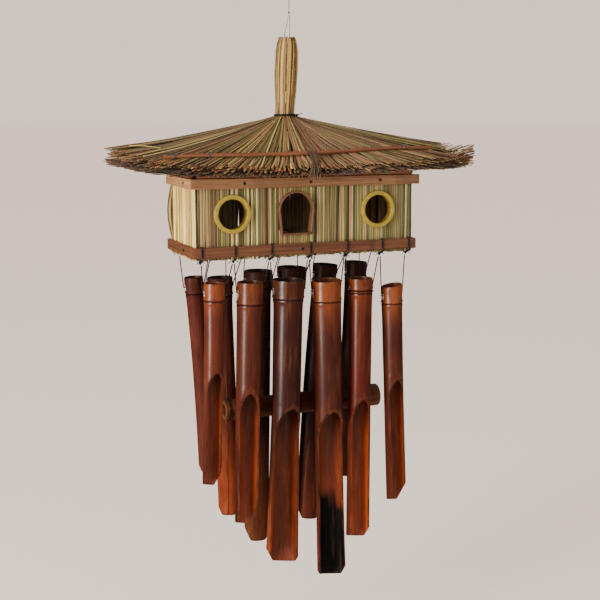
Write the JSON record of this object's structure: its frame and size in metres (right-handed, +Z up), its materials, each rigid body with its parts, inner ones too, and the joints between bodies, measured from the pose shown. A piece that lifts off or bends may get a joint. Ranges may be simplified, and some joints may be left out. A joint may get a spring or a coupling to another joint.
{
  "type": "wind chime",
  "caption": "Hanging bamboo wind chime: a straw-walled hut with a thatched roof, two rows of stained bamboo tubes and a bamboo striker hung between them.",
  "frame": {"origin": "the point where the hanging loop rests on its hook", "axes": "+Z up along the hanging line, +X along the hut to the right of its door side, +Y from the door side to the back"},
  "size_m": [0.425, 0.124, 0.6646],
  "materials": {
    "stained_bamboo": "stained dark red-brown and lacquered to a gloss",
    "black_cord": "black waxed cord",
    "hanging_line": "dark grey thin cord",
    "thatch_straw": "dry golden and olive straw",
    "wall_straw": "flattened straw in cream, green-grey, pink and brown",
    "pale_wood": "reddish pale wood, lightly sanded",
    "rattan": "split rattan, satin",
    "green_bamboo": "yellow-olive bamboo, varnished",
    "steel": "dull wire and small nails"
  },
  "bodies": {
    "hook_loop": {"hanging_loop": "hanging_line"},
    "line": {"hanging_line": "hanging_line"},
    "knot": {"line_knot": "hanging_line"},
    "hut": {"hanger_strands": "hanging_line", "topknot": "thatch_straw", "neck_tie": "black_cord", "thatch": "thatch_straw", "front_batten": "rattan", "back_batten": "rattan", "batten_wires": "steel", "roof_frame": "rattan", "front_top_slat": "pale_wood", "back_top_slat": "pale_wood", "left_top_slat": "pale_wood", "right_top_slat": "pale_wood", "front_bottom_slat": "pale_wood", "back_bottom_slat": "pale_wood", "left_bottom_slat": "pale_wood", "right_bottom_slat": "pale_wood", "inner_rails": "pale_wood", "corner_posts": "pale_wood", "front_wall": "wall_straw", "back_wall": "wall_straw", "left_wall": "wall_straw", "right_wall": "wall_straw", "left_window_ring": "green_bamboo", "right_window_ring": "green_bamboo", "door_trim": "rattan", "nails": "steel", "front_lashings": "black_cord", "back_lashings": "black_cord", "floor_bars": "rattan", "striker_knots": "black_cord"},
    "striker": {"striker": "stained_bamboo", "striker_cords": "black_cord", "striker_tail": "black_cord"},
    "front_tube_1": {"tube_f1": "stained_bamboo", "sling_f1": "black_cord"},
    "front_tube_2": {"tube_f2": "stained_bamboo", "sling_f2": "black_cord"},
    "front_tube_3": {"tube_f3": "stained_bamboo", "sling_f3": "black_cord"},
    "front_tube_4": {"tube_f4": "stained_bamboo", "sling_f4": "black_cord"},
    "front_tube_5": {"tube_f5": "stained_bamboo", "sling_f5": "black_cord"},
    "front_tube_6": {"tube_f6": "stained_bamboo", "sling_f6": "black_cord"},
    "back_tube_1": {"tube_b1": "stained_bamboo", "sling_b1": "black_cord"},
    "back_tube_2": {"tube_b2": "stained_bamboo", "sling_b2": "black_cord"},
    "back_tube_3": {"tube_b3": "stained_bamboo", "sling_b3": "black_cord"},
    "back_tube_4": {"tube_b4": "stained_bamboo", "sling_b4": "black_cord"},
    "back_tube_5": {"tube_b5": "stained_bamboo", "sling_b5": "black_cord"},
    "back_tube_6": {"tube_b6": "stained_bamboo", "sling_b6": "black_cord"}
  },
  "joints": [
    {"name": "line_swing", "type": "hinge", "parent": "hook_loop", "child": "line", "pos_m": [0, 0, -0.014], "axis": [0, 1, 0], "range_deg": [-15, 15]},
    {"name": "chime_sway", "type": "hinge", "parent": "line", "child": "knot", "pos_m": [0, 0, -0.049], "axis": [1, 0, 0], "range_deg": [-15, 15]},
    {"name": "chime_spin", "type": "hinge", "parent": "knot", "child": "hut", "pos_m": [0, 0, -0.049], "axis": [0, 0, 1], "range_deg": [-180, 180]},
    {"name": "striker_swing", "type": "hinge", "parent": "hut", "child": "striker", "pos_m": [0.0095, 0, -0.299], "axis": [1, 0, 0], "range_deg": [-4, 4]},
    {"name": "front_tube_1_swing", "type": "hinge", "parent": "hut", "child": "front_tube_1", "pos_m": [-0.0945, -0.04, -0.3005], "axis": [1, 0, 0], "range_deg": [-25, 4]},
    {"name": "front_tube_2_swing", "type": "hinge", "parent": "hut", "child": "front_tube_2", "pos_m": [-0.05725, -0.04, -0.3005], "axis": [1, 0, 0], "range_deg": [-25, 4]},
    {"name": "front_tube_3_swing", "type": "hinge", "parent": "hut", "child": "front_tube_3", "pos_m": [-0.016, -0.04, -0.3005], "axis": [1, 0, 0], "range_deg": [-25, 4]},
    {"name": "front_tube_4_swing", "type": "hinge", "parent": "hut", "child": "front_tube_4", "pos_m": [0.0265, -0.04, -0.3005], "axis": [1, 0, 0], "range_deg": [-25, 4]},
    {"name": "front_tube_5_swing", "type": "hinge", "parent": "hut", "child": "front_tube_5", "pos_m": [0.06775, -0.04, -0.3005], "axis": [1, 0, 0], "range_deg": [-25, 4]},
    {"name": "front_tube_6_swing", "type": "hinge", "parent": "hut", "child": "front_tube_6", "pos_m": [0.10375, -0.04, -0.3005], "axis": [1, 0, 0], "range_deg": [-25, 4]},
    {"name": "back_tube_1_swing", "type": "hinge", "parent": "hut", "child": "back_tube_1", "pos_m": [-0.0945, 0.04, -0.3005], "axis": [1, 0, 0], "range_deg": [-4, 25]},
    {"name": "back_tube_2_swing", "type": "hinge", "parent": "hut", "child": "back_tube_2", "pos_m": [-0.05725, 0.04, -0.3005], "axis": [1, 0, 0], "range_deg": [-4, 25]},
    {"name": "back_tube_3_swing", "type": "hinge", "parent": "hut", "child": "back_tube_3", "pos_m": [-0.016, 0.04, -0.3005], "axis": [1, 0, 0], "range_deg": [-4, 25]},
    {"name": "back_tube_4_swing", "type": "hinge", "parent": "hut", "child": "back_tube_4", "pos_m": [0.0265, 0.04, -0.3005], "axis": [1, 0, 0], "range_deg": [-4, 25]},
    {"name": "back_tube_5_swing", "type": "hinge", "parent": "hut", "child": "back_tube_5", "pos_m": [0.06775, 0.04, -0.3005], "axis": [1, 0, 0], "range_deg": [-4, 25]},
    {"name": "back_tube_6_swing", "type": "hinge", "parent": "hut", "child": "back_tube_6", "pos_m": [0.10375, 0.04, -0.3005], "axis": [1, 0, 0], "range_deg": [-4, 25]}
  ]
}
